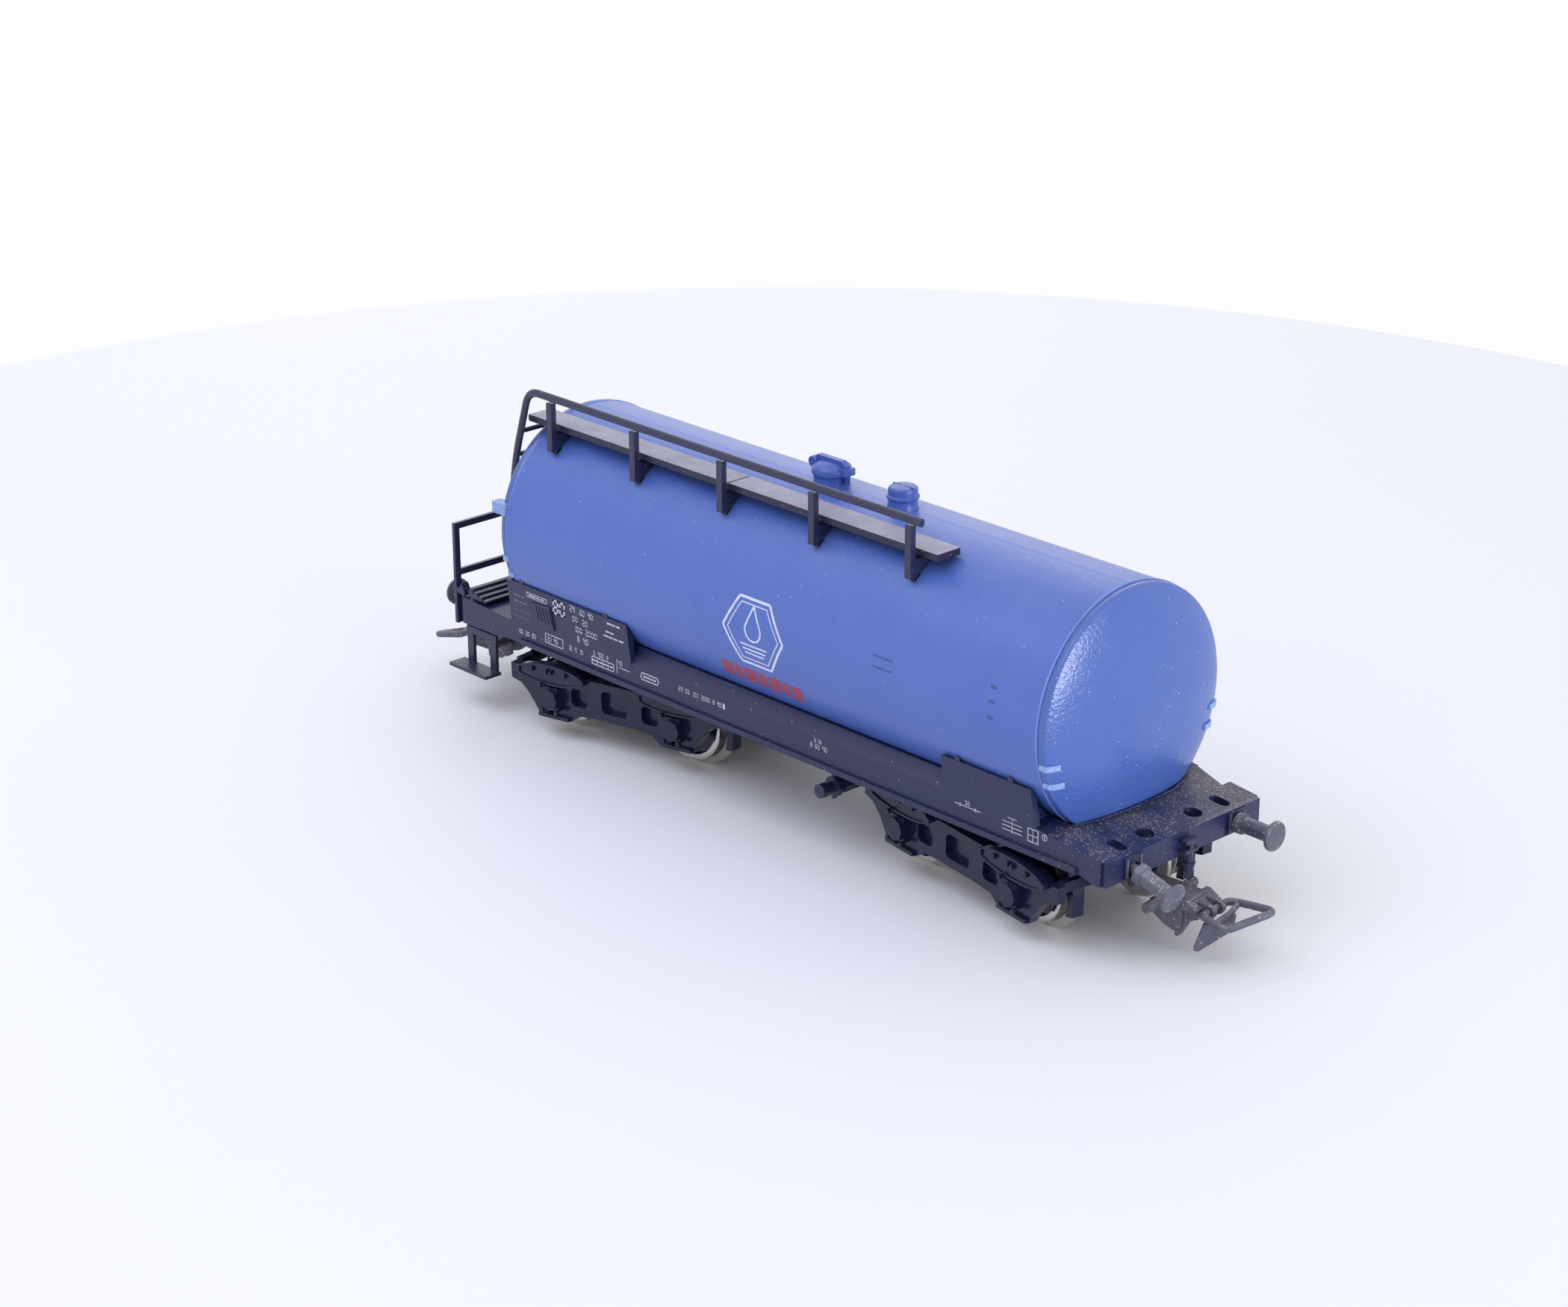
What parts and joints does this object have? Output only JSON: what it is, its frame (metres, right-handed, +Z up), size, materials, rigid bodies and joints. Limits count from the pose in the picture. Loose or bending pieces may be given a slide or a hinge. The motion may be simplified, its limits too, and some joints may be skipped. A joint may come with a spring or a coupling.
{
  "type": "model tank wagon",
  "caption": "Bogie tank wagon model: cylindrical tank with dished ends on a drop frame, walkway with handrail and end ladder, sprung bogies, buffers and loop couplers.",
  "frame": {"origin": "on the rail plane, under the middle of the overall box, between the bogies", "axes": "+X along the track towards the end without the platform, +Y away from the walkway side, +Z up"},
  "size_m": [0.1536, 0.0344, 0.0502],
  "materials": {
    "blue_moulding": "satin blue moulded plastic",
    "dark_moulding": "satin near-black moulded plastic",
    "coupler_moulding": "worn dark grey plastic",
    "steel": "plain steel",
    "nickel_silver": "turned nickel silver, slightly tarnished"
  },
  "bodies": {
    "wagon_body": {"tank_barrel": "blue_moulding", "tank_end_cap_right": "blue_moulding", "tank_end_cap_left": "blue_moulding", "manhole_dome": "blue_moulding", "vent_dome": "blue_moulding", "walkway_deck": "dark_moulding", "walkway_post_1": "dark_moulding", "walkway_post_2": "dark_moulding", "walkway_post_3": "dark_moulding", "walkway_post_4": "dark_moulding", "walkway_post_5": "dark_moulding", "handrail": "dark_moulding", "end_ladder": "dark_moulding", "underframe": "dark_moulding", "end_platform": "dark_moulding", "end_railing": "dark_moulding", "step_near": "dark_moulding", "step_far": "dark_moulding", "buffer_left_near": "dark_moulding", "buffer_left_far": "dark_moulding", "buffer_right_near": "dark_moulding", "buffer_right_far": "dark_moulding", "drain_valve": "dark_moulding", "air_hose_right": "dark_moulding", "air_hose_left": "dark_moulding", "ballast_weight": "steel", "bogie_pivot_left": "steel", "bogie_pivot_right": "steel"},
    "bogie_left": {"bogie_frame_left": "dark_moulding"},
    "bogie_right": {"bogie_frame_right": "dark_moulding"},
    "wheelset_1": {"axle_1": "steel", "wheel_1_near": "nickel_silver", "wheel_1_far": "nickel_silver"},
    "wheelset_2": {"axle_2": "steel", "wheel_2_near": "nickel_silver", "wheel_2_far": "nickel_silver"},
    "wheelset_3": {"axle_3": "steel", "wheel_3_near": "nickel_silver", "wheel_3_far": "nickel_silver"},
    "wheelset_4": {"axle_4": "steel", "wheel_4_near": "nickel_silver", "wheel_4_far": "nickel_silver"},
    "coupler_left": {"coupler_head_left": "coupler_moulding", "coupler_pin_left": "steel"},
    "loop_left": {"coupler_loop_left": "coupler_moulding"},
    "coupler_right": {"coupler_head_right": "coupler_moulding", "coupler_pin_right": "steel"},
    "loop_right": {"coupler_loop_right": "coupler_moulding"}
  },
  "joints": [
    {"name": "bogie_left_swivel", "type": "hinge", "parent": "wagon_body", "child": "bogie_left", "pos_m": [-0.03325, 0, 0.0102], "axis": [0, 0, 1], "range_deg": [-19, 1]},
    {"name": "bogie_right_swivel", "type": "hinge", "parent": "wagon_body", "child": "bogie_right", "pos_m": [0.0382, 0, 0.0102], "axis": [0, 0, 1], "range_deg": [-3.6, 16.4]},
    {"name": "wheelset_1_spin", "type": "hinge", "parent": "bogie_left", "child": "wheelset_1", "pos_m": [-0.04446, -0.00178, 0.0066], "axis": [-0.1564, 0.9877, 0], "continuous": true},
    {"name": "wheelset_2_spin", "type": "hinge", "parent": "bogie_left", "child": "wheelset_2", "pos_m": [-0.02204, 0.00178, 0.0066], "axis": [-0.1564, 0.9877, 0], "continuous": true},
    {"name": "wheelset_3_spin", "type": "hinge", "parent": "bogie_right", "child": "wheelset_3", "pos_m": [0.02692, 0.00127, 0.0066], "axis": [0.1115, 0.9938, 0], "continuous": true},
    {"name": "wheelset_4_spin", "type": "hinge", "parent": "bogie_right", "child": "wheelset_4", "pos_m": [0.04948, -0.00127, 0.0066], "axis": [0.1115, 0.9938, 0], "continuous": true},
    {"name": "coupler_left_swing", "type": "hinge", "parent": "bogie_left", "child": "coupler_left", "pos_m": [-0.05965, -0.00418, 0.0091], "axis": [0, 0, 1], "range_deg": [-15, 15]},
    {"name": "coupler_right_swing", "type": "hinge", "parent": "bogie_right", "child": "coupler_right", "pos_m": [0.05909, -0.00234, 0.0091], "axis": [0, 0, 1], "range_deg": [-27.3, 2.7]},
    {"name": "loop_left_lift", "type": "hinge", "parent": "coupler_left", "child": "loop_left", "pos_m": [-0.07021, -0.00585, 0.007], "axis": [0.1564, -0.9877, 0], "range_deg": [-54, 0]},
    {"name": "loop_right_lift", "type": "hinge", "parent": "coupler_right", "child": "loop_right", "pos_m": [0.06974, -0.00124, 0.007], "axis": [-0.1028, 0.9947, 0], "range_deg": [-30, 24]}
  ]
}
